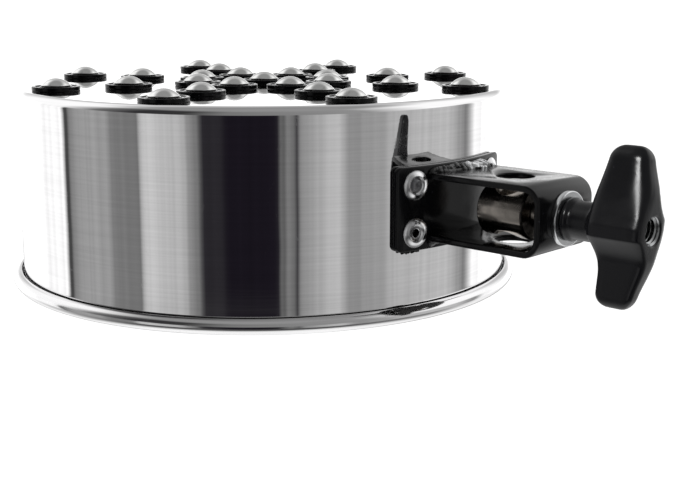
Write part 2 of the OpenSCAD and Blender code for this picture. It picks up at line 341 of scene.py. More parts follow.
class Group:
    """A node group, built at its first use by a function that lays out its nodes. The
    function's keywords and their defaults make the group's named inputs."""

    def __init__(self, kind, outputs, lay_out):
        self.kind, self.outputs, self.lay_out = kind, outputs, lay_out
        self.name = title(lay_out.__name__)

    def tree(self):
        """The group's tree."""
        return bpy.data.node_groups.get(self.name) or self.build()

    def build(self):
        """Makes the tree: its inputs, its outputs and what the function lays out."""
        tree = bpy.data.node_groups.new(self.name, self.kind + "NodeTree")
        inputs = dict(list(inspect.signature(self.lay_out).parameters.items())[1:])
        for key, parameter in inputs.items():
            default = parameter.default
            form = SOCKETS.get(type(default), default)
            made = tree.interface.new_socket(name=title(key), in_out="INPUT", socket_type=form)
            if form is not default:
                made.default_value = default
        for key, form in self.outputs.items():
            tree.interface.new_socket(name=title(key), in_out="OUTPUT", socket_type=form)
        nodes = Nodes(tree)
        given = nodes.add("NodeGroupInput")
        results = self.lay_out(nodes, **{key: given[title(key)] for key in inputs})
        end = tree.nodes.new("NodeGroupOutput")
        for i, value in enumerate(results if isinstance(results, tuple) else (results,)):
            nodes.put(value, end.inputs[i])
        return tree

    def __call__(self, nodes, **inputs):
        """The first output of a node that runs the group in another tree."""
        return nodes.add(self.kind + "NodeGroup",
                         {title(key): value for key, value in inputs.items()},
                         node_tree=self.tree())


def group(kind, **outputs):
    """Makes a node group of a function."""
    return lambda lay_out: Group(kind, outputs, lay_out)


# Geometry groups


@group("Geometry", geometry=GEOMETRY)
def revolve(nodes, outline=GEOMETRY, segments=64):
    """Turns an outline, a row of points in the XZ plane, round Z."""
    count = nodes.add("GeometryNodeAttributeDomainSize", {"Geometry": outline})
    grid = nodes.add("GeometryNodeMeshGrid", {"Vertices X": segments + 1.0, "Vertices Y": count})
    index = nodes.add("GeometryNodeInputIndex")
    # Half a step is added, so that a rounding error never drops an index into the row before
    column = ((index + 0.5) / count).math("FLOOR")
    place = nodes.add("GeometryNodeInputPosition")
    point = nodes.add("GeometryNodeSampleIndex",
                      {"Geometry": outline, "Index": index - column * count, "Value": place},
                      data_type="FLOAT_VECTOR", domain="POINT")
    turned = nodes.add("ShaderNodeVectorRotate",
                       {"Vector": point, "Angle": column / segments * math.tau},
                       rotation_type="Z_AXIS")
    moved = nodes.add("GeometryNodeSetPosition", {"Geometry": grid, "Position": turned})
    return nodes.add("GeometryNodeMergeByDistance",
                     {"Geometry": moved, "Distance": MERGE_DISTANCE})


@group("Geometry", place=VECTOR)
def star_place(nodes, number=0, arms=8, step=0.02, axis=0.0, top=0.0):
    """Place of a numbered rivet: number 0 in the middle, then ring by ring round the arms."""
    on_arm = number - 1.0
    reach = ((on_arm / arms).math("FLOOR") + 1.0) * step
    turn = (on_arm.math("FLOORED_MODULO", arms) + 0.5) / arms * math.tau
    spoke = nodes.join(reach * turn.math("COSINE"), reach * turn.math("SINE"))
    return nodes.vector("ADD", spoke, nodes.join(axis * -1.0, 0.0, top))


@group("Geometry", points=GEOMETRY, rotation=ROTATION)
def saddle_places(nodes, radius=0.0, axis=0.0, side=0.0, level=0.0, missing=-1):
    """Four points on the saddle plate's face, turned so that their own Z points outward."""
    index = nodes.add("GeometryNodeInputIndex")
    upper = index.math("FLOORED_MODULO", 2.0)
    far = (index / 2.0).math("FLOOR")
    turn = (side / radius).math("ARCSINE") * far.math("MULTIPLY_ADD", 2.0, -1.0)
    place = nodes.join(radius * turn.math("COSINE") - axis, radius * turn.math("SINE"),
                       level * upper.math("MULTIPLY_ADD", 2.0, -1.0))
    points = nodes.add("GeometryNodePoints", {"Count": 4, "Position": place})
    kept_turn = nodes.add("GeometryNodeStoreNamedAttribute",
                          {"Geometry": points, "Name": "turn",
                           "Value": nodes.join(0.0, math.pi / 2, turn)},
                          data_type="FLOAT_VECTOR", domain="POINT")
    gone = nodes.add("FunctionNodeCompare", {"A": index, "B": missing},
                     data_type="INT", operation="EQUAL")
    left = nodes.add("GeometryNodeDeleteGeometry", {"Geometry": kept_turn, "Selection": gone},
                     domain="POINT")
    named = nodes.add("GeometryNodeInputNamedAttribute", {"Name": "turn"},
                      data_type="FLOAT_VECTOR")
    return left, nodes.add("FunctionNodeEulerToRotation", {"Euler": named})


@group("Geometry", geometry=GEOMETRY)
def spun_pan(nodes, outline=GEOMETRY, segments=288, axis=0.0, top=0.0, arms=8, rings=3, step=0.0,
             stud_hole=0.0, wall_radius=0.0, rivet_side=0.0, rivet_level=0.0, rivet_hole=0.0,
             cut_depth=0.0, finish=MATERIAL):
    """The spun pan: its outline turned round its axis, with the star's and the bracket's holes."""
    body = nodes.add("GeometryNodeTransform",
                     {"Geometry": revolve(nodes, outline=outline, segments=segments),
                      "Translation": nodes.join(axis * -1.0)})
    place = star_place(nodes, number=nodes.add("GeometryNodeInputIndex"), arms=arms, step=step,
                       axis=axis, top=top)
    studs = nodes.add("GeometryNodePoints", {"Count": arms * rings + 1.0, "Position": place})
    wall = saddle_places(nodes, radius=wall_radius, axis=axis, side=rivet_side,
                         level=rivet_level)
    drills = nodes.add("GeometryNodeJoinGeometry")
    for points, turn, sides, radius in ((studs, ORIGIN, 48, stud_hole),
                                        (wall, wall["Rotation"], 32, rivet_hole)):
        drill = nodes.add("GeometryNodeMeshCylinder",
                          {"Vertices": sides, "Radius": radius, "Depth": cut_depth})
        holes = nodes.add("GeometryNodeInstanceOnPoints",
                          {"Points": points, "Instance": drill, "Rotation": turn})
        nodes.put(holes, drills.output.node.inputs[0])
    real_drills = nodes.add("GeometryNodeRealizeInstances", {"Geometry": drills})
    drilled = nodes.add("GeometryNodeMeshBoolean", {"Mesh 1": body, "Mesh 2": real_drills},
                        operation="DIFFERENCE", solver="EXACT")
    return nodes.finished(drilled, finish)


@group("Geometry", geometry=GEOMETRY)
def stud_piece(nodes, outline=GEOMETRY, segments=64, number=0, arms=8, step=0.0, axis=0.0,
               top=0.0, turn=0.0, finish=MATERIAL):
    """A turned piece that stands at a numbered place of the star."""
    place = star_place(nodes, number=number, arms=arms, step=step, axis=axis, top=top)
    moved = nodes.add("GeometryNodeTransform",
                      {"Geometry": revolve(nodes, outline=outline, segments=segments),
                       "Translation": place, "Rotation": nodes.join(z=turn)})
    return nodes.finished(moved, finish)


@group("Geometry", geometry=GEOMETRY)
def bracket_piece(nodes, outline=GEOMETRY, segments=48, radius=0.0, axis=0.0, side=0.0,
                  level=0.0, missing=-1, finish=MATERIAL):
    """A turned piece repeated at the bracket's four rivet places, or at three of them."""
    places = saddle_places(nodes, radius=radius, axis=axis, side=side, level=level,
                           missing=missing)
    copies = nodes.add("GeometryNodeInstanceOnPoints",
                       {"Points": places,
                        "Instance": revolve(nodes, outline=outline, segments=segments),
                        "Rotation": places["Rotation"]})
    return nodes.finished(copies, finish)


@group("Geometry", geometry=GEOMETRY)
def axle(nodes, outline=GEOMETRY, segments=96, finish=MATERIAL):
    """A turned piece whose axis lies along X."""
    moved = nodes.add("GeometryNodeTransform",
                      {"Geometry": revolve(nodes, outline=outline, segments=segments),
                       "Rotation": (0.0, math.pi / 2, 0.0)})
    return nodes.finished(moved, finish)


# Outlines: rows of (radius, height) from the axis round to the axis, or closed rings


def arc(centre, radius, start, end):
    """Points along an arc, its angles in degrees from the radial direction towards +Z."""
    first, sweep = math.radians(start), math.radians(end - start)
    steps = max(2, math.ceil(abs(sweep) / ARC_STEP))
    return [(centre[0] + radius * math.cos(first + sweep * i / steps),
             centre[1] + radius * math.sin(first + sweep * i / steps))
            for i in range(steps + 1)]


def line(start, end, steps):
    """Points along a straight stretch, without its last one."""
    return [(start[0] + (end[0] - start[0]) * i / steps,
             start[1] + (end[1] - start[1]) * i / steps) for i in range(steps)]


def dome_radius(diameter, height):
    """Radius of the ball that a dome is cut from."""
    return (diameter ** 2 / 4 + height ** 2) / (2 * height)


def lean_at(radius, ball):
    """How far a ball's surface leans at a radius from its axis, in degrees."""
    return math.degrees(math.asin(radius / ball))


def pan_outline(pan):
    """The pan's section: top, corner, wall, the bead curled outward and up, and back inside."""
    wall, sheet, top, corner = pan.wall_radius, pan.sheet, pan.top, pan.corner_radius
    inner = wall - sheet
    bead = pan.bead_diameter / 2
    centre = (inner + bead, -pan.rim + bead)
    hollow = bead - sheet
    slit = wall + pan.bead_slit - centre[0]
    turn = (wall - corner, top - corner)
    top_steps, wall_steps = 12, 14
    return (
        line((0.0, top), (wall - corner, top), top_steps)
        + arc(turn, corner, 90, 0)
        + line((wall, top - corner - sheet), (wall, centre[1]), wall_steps)
        + arc(centre, hollow, 180, 360 + math.degrees(math.acos(slit / hollow)))
        + arc(centre, bead, math.degrees(math.acos(slit / bead)), -180)
        + line((inner, centre[1] + sheet), (inner, top - corner), wall_steps)
        + arc(turn, corner - sheet, 0, 90)
        + line((wall - corner - sheet, top - sheet), (0.0, top - sheet), top_steps)
        + [(0.0, top - sheet)]
    )


def rivet_outline(star, sheet):
    """A loose rivet that stands on its washer: dome, shank and upset end."""
    base, edge, shank = star.pad_height, star.head_edge, star.shank_radius
    ball = dome_radius(star.head_diameter, star.head_height)
    lean = lean_at(star.head_diameter / 2, ball)
    under = -(sheet + star.tail_drop)
    round_tail = star.tail_height / 2
    dome = arc((0.0, base + star.head_height - ball), ball, 90, 90 - lean + 4)
    return (
        dome + arc((dome[-1][0] - edge * 0.7, base + edge), edge, 90 - lean, -90)
        + [(shank + edge, base), (shank, base - edge), (shank, under + edge),
           (shank + edge, under)]
        + arc((star.tail_diameter / 2 - round_tail, under - round_tail), round_tail, 90, -90)
        + [(0.0, under - star.tail_height)]
    )


def pad_outline(star):
    """The black washer's ring: a seat for the head, a groove and a raised rim with soft edges."""
    outer, inner, high = star.pad_diameter / 2, star.pad_hole_radius, star.pad_height
    edge = star.pad_edge
    seat = star.head_diameter / 2 + edge
    ring = (
        [(inner, edge), (inner, high - edge), (inner + edge, high), (seat, high),
         (seat + edge * 0.6, high - edge), (outer - 5 * edge, high - edge),
         (outer - 4.2 * edge, high - edge * 0.2), (outer - 3.6 * edge, high)]
        + arc((outer - edge, high - edge), edge, 90, 0)
        + arc((outer - edge, edge), edge, 0, -90)
        + [(inner + edge, 0.0)]
    )
    return ring + ring[:1]


def bracket_rivet_outline(bracket, depth):
    """A blind rivet: domed head with a dent and a bore, shank and bulge."""
    soft, bulge_edge = 0.00028, 0.0012
    ball = dome_radius(bracket.rivet_head, bracket.rivet_rise)
    rim, dent, bore = bracket.rivet_head / 2, bracket.dent / 2, bracket.rivet_bore / 2
    bulge, shank = bracket.bulge / 2 - bulge_edge, bracket.rivet_shank / 2
    floor = bracket.dent_floor
    end = -depth - bracket.bulge_length
    dome = arc((0.0, bracket.rivet_rise - ball), ball, 90 - lean_at(dent + soft, ball),
               90 - lean_at(rim, ball) + 5)
    lip = dome[0][1] - soft
    ring = (
        [(bore, floor - soft)]
        + arc((bore + soft, floor - soft), soft, 180, 90)
        + [(dent - 2 * soft, floor), (dent - soft * 0.3, floor + soft), (dent, lip)]
        + arc((dent + soft, lip), soft, 180, 120)
        + dome
        + arc((rim - soft, soft * 0.8), soft, 30, -60)
        + [(rim - 2 * soft, 0.0), (shank, 0.0), (shank, -depth)]
        + arc((bulge, -depth - bulge_edge), bulge_edge, 90, 0)
        + arc((bulge, end + bulge_edge), bulge_edge, 0, -90)
        + [(bore, end)]
    )
    return ring + ring[:1]


def pin_outline(bracket, depth):
    """A broken pin: a torn crown in the dent, its shank and its head inside the pan."""
    crown, shank, head, crown_edge = 0.0019, 0.00127, 0.0022, 0.0005
    floor = bracket.dent_floor
    low = -(depth + bracket.bulge_length)
    return (
        [(0.0, floor + 0.00035), (0.0006, floor + 0.00030), (0.0009, floor + 0.00062)]
        + arc((crown - crown_edge, floor + 0.0002), crown_edge, 80, 0)
        + [(crown, floor), (shank, floor), (shank, low), (head - 0.0003, low),
           (head, low - 0.0003), (head, low - 0.0012), (head - 0.0004, low - 0.0016),
           (0.0, low - 0.0016)]
    )


def washer_outline(bolt):
    """The bright washer's ring, stamped: one face's edges round, the other's nearly sharp."""
    outer, inner = (WASHER_BOX[1].z - WASHER_BOX[0].z) / 2, bolt.washer_hole / 2
    near, far = WASHER_BOX[0].x, WASHER_BOX[1].x
    soft, keen = 0.0004, 0.00012
    ring = (
        [(inner, near + keen), (inner, far - soft)]
        + arc((inner + soft, far - soft), soft, 180, 90)
        + arc((outer - soft, far - soft), soft, 90, 0)
        + arc((outer - keen, near + keen), keen, 0, -90)
        + [(inner + keen, near)]
    )
    return ring + ring[:1]


# Meshes


def add_object(name, data):
    """A new object in the scene."""
    made = bpy.data.objects.new(name, data)
    bpy.context.scene.collection.objects.link(made)
    return made


def plain_mesh(name, piece, *tools):
    """A plain mesh of what an object and its modifiers come to. The objects are removed."""
    bpy.context.view_layer.update()
    depsgraph = bpy.context.evaluated_depsgraph_get()
    mesh = bpy.data.meshes.new_from_object(piece.evaluated_get(depsgraph))
    mesh.name = name
    piece.modifiers.clear()
    for thing in (piece, *tools):
        used = thing.data
        bpy.data.objects.remove(thing)
        bpy.data.meshes.remove(used)
    return mesh


def turned_mesh(name, outline, tree, **inputs):
    """Runs a Geometry Nodes group on an outline, a row of points in the XZ plane, and keeps
    the plain mesh."""
    mesh = bpy.data.meshes.new(name)
    mesh.from_pydata([(radius, 0.0, height) for radius, height in outline],
                     [(i, i + 1) for i in range(len(outline) - 1)], [])
    source = add_object(name + "_outline", mesh)
    modifier = source.modifiers.new("Make", "NODES")
    modifier.node_group = tree.tree()
    values = {title(key): value for key, value in inputs.items()}
    for item in modifier.node_group.interface.items_tree:
        if item.in_out == "INPUT" and item.name in values:
            modifier[item.identifier] = values[item.name]
    mesh = plain_mesh(name, source)
    if not mesh.polygons:
        raise RuntimeError(f"{tree.name} made no faces for {name}")
    return mesh


def modified(name, mesh, *steps):
    """A plain mesh of what modifiers make of a mesh. Each is given as (type, settings), and a
    mesh among the settings is one to cut or to join with."""
    piece, tools = add_object(name, mesh), []
    for kind, values in steps:
        modifier = piece.modifiers.new(kind, kind)
        for key, value in values.items():
            if isinstance(value, bpy.types.Mesh):
                value = add_object(f"{name}_tool", value)
                tools.append(value)
            setattr(modifier, key, value)
    return plain_mesh(name, piece, *tools)


def boolean(operation, tool):
    """A modifier that cuts a mesh out or joins one on."""
    return "BOOLEAN", {"operation": operation, "solver": "EXACT", "object": tool}


def cut_and_bevel(name, mesh, cutters, bevel=0.0, rounds=3):
    """A mesh with other meshes cut out of it and its sharp edges rounded."""
    steps = [boolean("DIFFERENCE", cutter) for cutter in cutters]
    if bevel:
        steps.append(("BEVEL", {"width": bevel, "segments": rounds, "limit_method": "ANGLE",
                                "angle_limit": BEVEL_ANGLE, "use_clamp_overlap": True}))
    return modified(name, mesh, *steps)


def mesh_from(work, name):
    """Ends a bmesh as a mesh whose faces look outward."""
    bmesh.ops.recalc_face_normals(work, faces=work.faces)
    mesh = bpy.data.meshes.new(name)
    work.to_mesh(mesh)
    work.free()
    return mesh


def merge(work, distance):
    """Merges what lies together in a bmesh."""
    bmesh.ops.remove_doubles(work, verts=work.verts, dist=distance)
    bmesh.ops.dissolve_degenerate(work, edges=work.edges, dist=MERGE_DISTANCE)


def face_outward(mesh):
    """Turns a closed mesh's faces outward, and merges what lies together."""
    work = bmesh.new()
    work.from_mesh(mesh)
    merge(work, MERGE_DISTANCE)
    bmesh.ops.recalc_face_normals(work, faces=work.faces)
    if work.calc_volume(signed=True) < 0:
        bmesh.ops.reverse_faces(work, faces=work.faces)
    work.to_mesh(mesh)
    work.free()


def add_piece(name, mesh, finish, slot, node, body=ROOT_BODY):
    """A finished piece that rides on a body and stands for the node it replaces."""
    face_outward(mesh)
    mesh.materials.clear()
    mesh.materials.append(finish)
    mesh.shade_smooth()
    mesh.set_sharp_from_angle(angle=SHARP_ANGLE)
    mesh.name = name
    piece = add_object(name, mesh)
    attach(piece, body)
    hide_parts(node)


def add_turned(name, outline, tree, finish, slot, node, body=ROOT_BODY, **inputs):
    """A finished piece that a Geometry Nodes group turns from an outline."""
    mesh = turned_mesh(name, outline, tree, finish=finish, **inputs)
    add_piece(name, mesh, finish, slot, node, body)


def joined(name, meshes):
    """Several meshes as one."""
    work = bmesh.new()
    for mesh in meshes:
        work.from_mesh(mesh)
        bpy.data.meshes.remove(mesh)
    return mesh_from(work, name)


def drill(radius, start, end, segments=96):
    """A closed cylinder between two points, to cut a hole with."""
    work = bmesh.new()
    start, end = Vector(start), Vector(end)
    turn = (end - start).to_track_quat("Z", "Y").to_matrix().to_4x4()
    bmesh.ops.create_cone(work, cap_ends=True, segments=segments, radius1=radius,
                          radius2=radius, depth=(end - start).length,
                          matrix=Matrix.Translation((start + end) / 2) @ turn)
    return mesh_from(work, "drill")


def prism(name, points, shift):
    """A flat outline drawn out into a solid."""
    work = bmesh.new()
    face = work.faces.new([work.verts.new(point) for point in points])
    made = bmesh.ops.extrude_face_region(work, geom=[face])
    moved = [part for part in made["geom"] if isinstance(part, bmesh.types.BMVert)]
    bmesh.ops.translate(work, verts=moved, vec=shift)
    return mesh_from(work, name)


def lofted(rows, closed=True):
    """A bmesh with faces between rows of points. Closed rows are rings, and the first and the
    last one get a face of their own."""
    work = bmesh.new()
    rows = [[work.verts.new(point) for point in row] for row in rows]
    for low, high in zip(rows, rows[1:]):
        for j in range(len(low) if closed else len(low) - 1):
            k = (j + 1) % len(low)
            work.faces.new((low[j], low[k], high[k], high[j]))
    if closed:
        work.faces.new(rows[0])
        work.faces.new(rows[-1])
    return work


def smooth_step(t):
    """Eases from 0 to 1."""
    t = min(1.0, max(0.0, t))
    return t * t * (3 - 2 * t)


# Shader groups


@group("Shader", height=FLOAT)
def turned_lines(nodes, vector=ORIGIN, lines_per_metre=3000.0, wander=3.0, detail=3.0):
    """Fine lines left by turning round Z: they run round the piece and fade in and out."""
    parts = nodes.split(vector)
    flat = nodes.join(parts["X"], parts["Y"])
    path = nodes.vector("LENGTH", flat) - parts["Z"]
    spread = nodes.vector("SCALE", nodes.vector("NORMALIZE", flat), Scale=wander)
    place = nodes.vector("ADD", spread, nodes.join(z=path * lines_per_metre))
    return nodes.noise(place, 1.0, Detail=detail, Roughness=0.65)


@group("Shader", value=FLOAT, mask=FLOAT)
def handling_haze(nodes, vector=ORIGIN, scale=60.0, low=0.1, high=0.2):
    """Handling haze: a value that drifts between two limits over the surface."""
    cloud = nodes.noise(vector, scale, Detail=5.0, Roughness=0.6, Distortion=0.4)
    mask = nodes.eased(cloud, 0.35, 0.7)
    return nodes.mapped(mask, 0.0, 1.0, low, high), mask


@group("Shader", mask=FLOAT)
def hair_scratches(nodes, vector=ORIGIN, scale=90.0, width=0.012):
    """Hair scratches: thin broken lines that cross in two directions."""
    masks = []
    for turn in ((0.5, 0.2, 0.9), (-0.7, 0.6, -0.4)):
        laid = nodes.add("ShaderNodeMapping",
                         {"Vector": vector, "Rotation": turn, "Scale": (1.0, 0.12, 0.5)})
        away = (nodes.noise(laid, scale, Detail=2.0) - 0.5).math("ABSOLUTE")
        broken = nodes.noise(laid, 400.0, Detail=1.0).math("GREATER_THAN", 0.58)
        masks.append(away.math("LESS_THAN", width) * broken)
    return masks[0].math("MAXIMUM", masks[1])


@group("Shader", height=FLOAT)
def orange_peel(nodes, vector=ORIGIN, bumps_per_metre=700.0, fine=0.3):
    """Orange peel of sprayed paint, or the skin of a casting: soft low bumps."""
    coarse = nodes.noise(vector, bumps_per_metre, Detail=1.0, Roughness=0.4)
    return coarse + nodes.noise(vector, bumps_per_metre * 4.0, Detail=2.0) * fine


@group("Shader", mask=FLOAT)
def specks(nodes, vector=ORIGIN, cells_per_metre=600.0, size=0.12, share=0.15):
    """Sparse specks of dust or pits."""
    cell = nodes.add("ShaderNodeTexVoronoi", {"Vector": vector, "Scale": cells_per_metre})
    tone = nodes.add("ShaderNodeSeparateColor", {"Color": cell["Color"]})
    return cell["Distance"].math("LESS_THAN", size) * tone.math("LESS_THAN", share)


@group("Shader", mask=FLOAT)
def core(nodes, vector=ORIGIN, radius=0.004):
    """Mask of what lies within a radius of an axis along X: 1 inside."""
    parts = nodes.split(vector)
    away = nodes.vector("LENGTH", nodes.join(parts["Y"], parts["Z"]))
    return away.math("LESS_THAN", radius)


@group("Shader", mask=FLOAT)
def crevice(nodes, vector=ORIGIN, radius=0.09, rise=0.0004):
    """Mask for painted shade: falls to 0 within a radius of an axis along Z, where shade is
    painted in.
    """
    parts = nodes.split(vector)
    away = nodes.vector("LENGTH", nodes.join(parts["X"], parts["Y"]))
    return nodes.eased(away, radius, radius + rise)


@group("Shader", mask=FLOAT)
def worn_side(nodes, vector=ORIGIN, scale=400.0, start=0.0, end=0.005):
    """Mask of a painted highlight: none below a place along Y, and most of the crests past it, on
    the upper weld only.
    """
    parts = nodes.split(vector)
    crest = nodes.eased(nodes.noise(vector, scale, Detail=3.0), 0.38, 0.5)
    upper_bead = nodes.mapped(parts["Z"], 0.0, 0.001)
    return nodes.eased(parts["Y"], start, end) * crest * upper_bead


# Finishes


class Finish(Nodes):
    """A material that is laid out by calls, on the object's own coordinates."""

    def __init__(self, name, tone, metallic, roughness, specular=0.5):
        self.material = bpy.data.materials.new(name)
        self.material.use_nodes = True
        self.material.diffuse_color = tone
        super().__init__(self.material.node_tree)
        self.shader = self.tree.nodes["Principled BSDF"].inputs
        self.tone = tuple(tone)
        self.set(**{"Base Color": self.tone, "Metallic": metallic, "Roughness": roughness,
                    "Specular IOR Level": specular})
        self.place = self.add("ShaderNodeTexCoord")["Object"]

    def set(self, **values):
        """Links or sets the shader's inputs."""
        for key, value in values.items():
            self.put(value, self.shader[key])

    def effect(self, effect_group, **inputs):
        """A shader group on the object's own coordinates, or on those given."""
        return effect_group(self, **{"vector": self.place, **inputs})

    def centred(self, location=ORIGIN, rotation=ORIGIN):
        """Coordinates with a pattern's own centre and direction."""
        return self.add("ShaderNodeMapping", {"Vector": self.place, "Location": location,
                                              "Rotation": rotation})

    def bump(self, height, distance):
        """Puts a height through a Bump node into the shader's normal."""
        self.set(Normal=self.add("ShaderNodeBump", {"Height": height, "Distance": distance,
                                                    "Strength": 1.0}))

    def peel(self, bumps_per_metre, fine, distance):
        """Soft low bumps."""
        self.bump(self.effect(orange_peel, bumps_per_metre=bumps_per_metre, fine=fine), distance)

    def turned_along_bolt(self, lines_per_metre, distance):
        """Turned lines round the bolt's axis."""
        along = self.centred(rotation=(0.0, -math.pi / 2, 0.0))
        self.bump(self.effect(turned_lines, vector=along, lines_per_metre=lines_per_metre,
                              wander=2.0), distance)

    def haze(self, scale, low, high):
        """A roughness that drifts between two limits. Gives the mask of where it is high."""
        value = self.effect(handling_haze, scale=scale, low=low, high=high)
        self.set(Roughness=value)
        return value["Mask"]

    def faded(self, mask, factor):
        """The finish's own colour, made darker or lighter by a factor where a mask says so."""
        return self.mixed(mask, self.tone, shade(self.tone, factor))

    def coloured(self, tone):
        """Ends the finish with its base colour."""
        self.set(**{"Base Color": tone})
        return self.material


def shade(tone, factor):
    """A colour made darker or lighter by a factor."""
    return (*[min(1.0, part * factor) for part in tone[:3]], 1.0)


def pan_finish(colours, pan):
    """Polished spun aluminium: turned lines, light haze and hair scratches."""
    finish = Finish("polished_spun_aluminium", colours.pan_metal, 1.0, 0.06)
    round_axis = finish.centred((pan.axis_x, 0.0, 0.0))
    fine, broad, middle = (
        finish.effect(turned_lines, vector=round_axis, lines_per_metre=lines, wander=wander,
                      detail=detail)
        for lines, wander, detail in ((4200.0, 2.5, 3.0), (420.0, 0.9, 3.0), (1150.0, 2.4, 1.0)))
    waves = finish.effect(orange_peel, bumps_per_metre=38.0, fine=0.0)
    heights = waves.math("MULTIPLY_ADD", 110.0, fine + broad * 3.0)
    finish.bump(middle.math("MULTIPLY_ADD", 5.0, heights), 0.0000006)
    haze = finish.effect(handling_haze, scale=45.0, low=0.010, high=0.027)
    marks = finish.effect(hair_scratches, scale=70.0, width=0.006)
    # The bead is duller than the wall that it hangs from
    bead = finish.mapped(finish.split(finish.place)["Z"], pan.bead_diameter - pan.rim,
                         1.1 * pan.bead_diameter - pan.rim, 0.1, 0.0)
    finish.set(Roughness=marks.math("MULTIPLY_ADD", 0.05, haze) + bead)
    lines = finish.mapped(middle, 0.15, 0.8)
    return finish.coloured(finish.mixed(lines, shade(finish.tone, 0.91),
                                        shade(finish.tone, 1.03)))


def rivet_finish(colours):
    """Satin aluminium of the loose rivets, tumbled and a little marked."""
    finish = Finish("satin_aluminium", colours.rivet_metal, 1.0, 0.26)
    finish.peel(1500.0, 0.5, 0.0000035)
    haze = finish.haze(160.0, 0.10, 0.19)
    marks = finish.effect(hair_scratches, scale=220.0, width=0.01)
    return finish.coloured(finish.faded((haze * 0.5).math("MAXIMUM", marks), 0.84))


def plastic_finish(colours):
    """Glossy black plastic of the washers, moulded, with specks of dust."""
    finish = Finish("gloss_black_plastic", colours.washer_plastic, 0.0, 0.2, 0.16)
    finish.peel(900.0, 0.2, 0.000004)
    finish.haze(130.0, 0.10, 0.20)
    dust = finish.effect(specks, cells_per_metre=900.0, size=0.10, share=0.10)
    return finish.coloured(finish.faded(dust, 22.0))


def paint_finish(colours):
    """Gloss black paint on the bracket: orange peel, fine dust and a soft haze."""
    finish = Finish("gloss_black_paint", colours.paint, 0.0, 0.14, 0.26)
    finish.peel(520.0, 0.12, 0.000012)
    finish.haze(90.0, 0.13, 0.24)
    dust = finish.effect(specks, cells_per_metre=700.0, size=0.09, share=0.12)
    return finish.coloured(finish.faded(dust, 30.0))


def weld_finish(colours):
    """Black paint on the welds, with a painted highlight: bright bare metal on the far crests of
    the upper weld stands in for the paint's bright reflections there.
    """
    finish = Finish("worn_weld_paint", colours.paint, 0.0, 0.2)
    finish.peel(900.0, 0.5, 0.00012)
    finish.haze(420.0, 0.16, 0.30)
    # Painted highlight: the far crests of the upper weld turn to bright bare metal, in place of
    # the paint's bright reflections
    bare = finish.effect(worn_side, scale=420.0, start=-0.001, end=0.005)
    finish.set(Metallic=bare)
    return finish.coloured(finish.mixed(bare, finish.tone, colours.zinc))


def bracket_rivet_finish(colours, axis_x, radius):
    """Pressed aluminium of the blind rivets, bright with small dents, with painted shade in the
    bores and along the heads' feet.
    """
    finish = Finish("pressed_aluminium", colours.bracket_rivet, 1.0, 0.2)
    finish.peel(700.0, 0.3, 0.000006)
    worn = finish.faded(finish.haze(300.0, 0.20, 0.30), 0.75)
    # Painted shade: what lies deeper than the plate's face, as the bores and the heads' feet do,
    # is painted dark
    bare = finish.effect(crevice, vector=finish.centred((axis_x, 0.0, 0.0)),
                         radius=radius - 0.0002, rise=0.0003)
    return finish.coloured(finish.mixed(bare, shade(finish.tone, 0.03), worn))


def pin_finish(colours):
    """Dull torn steel of the broken pins."""
    finish = Finish("torn_steel", colours.broken_pin, 1.0, 0.45)
    finish.peel(2400.0, 1.0, 0.00009)
    return finish.coloured(finish.faded(finish.haze(500.0, 0.34, 0.6), 0.6))


def plating_finish(colours):
    """Dark plating on the bolt, with turned lines along its length and rubbed haze."""
    finish = Finish("dark_plating", colours.bolt_plating, 1.0, 0.2)
    finish.turned_along_bolt(3600.0, 0.000006)
    return finish.coloured(finish.faded(finish.haze(150.0, 0.14, 0.30), 0.62))


def zinc_finish(colours):
    """Bright zinc of the bolt's washer."""
    finish = Finish("bright_zinc", colours.zinc, 1.0, 0.2)
    finish.turned_along_bolt(2500.0, 0.000004)
    return finish.coloured(finish.faded(finish.haze(220.0, 0.13, 0.28), 0.8))


def casting_finish(colours, bolt):
    """Satin black coat on the cast wing nut, with the cut thread bare."""
    finish = Finish("satin_black_casting", colours.casting, 0.0, 0.24, 0.31)
    finish.peel(650.0, 0.5, 0.00001)
    finish.haze(70.0, 0.18, 0.27)
    dust = finish.effect(specks, cells_per_metre=800.0, size=0.08, share=0.08)
    thread = finish.effect(core, radius=bolt.thread_diameter / 2 + 0.0003)
    finish.set(Metallic=thread)
    return finish.coloured(finish.mixed(thread, finish.faded(dust, 14.0),
                                        shade(colours.zinc, 0.5)))


def floor_finish(colours):
    """Pale floor that glows a little, so that it stays even and white to the horizon."""
    finish = Finish("pale_floor", colours.floor, 0.0, 0.9)
    finish.set(**{"Emission Color": (1.0, 1.0, 1.0, 1.0), "Emission Strength": 0.62})
    haze = finish.effect(handling_haze, scale=3.0)["Mask"]
    return finish.coloured(finish.faded(haze, 0.99))


# Pieces in mesh code

# The paint burrs under the saddle plate: their size, how much it varies, and how deep in the
# plate they sit
BURR_SIZE = 0.00042
BURR_SPREAD = 0.00028
BURR_DEPTH = 0.0011


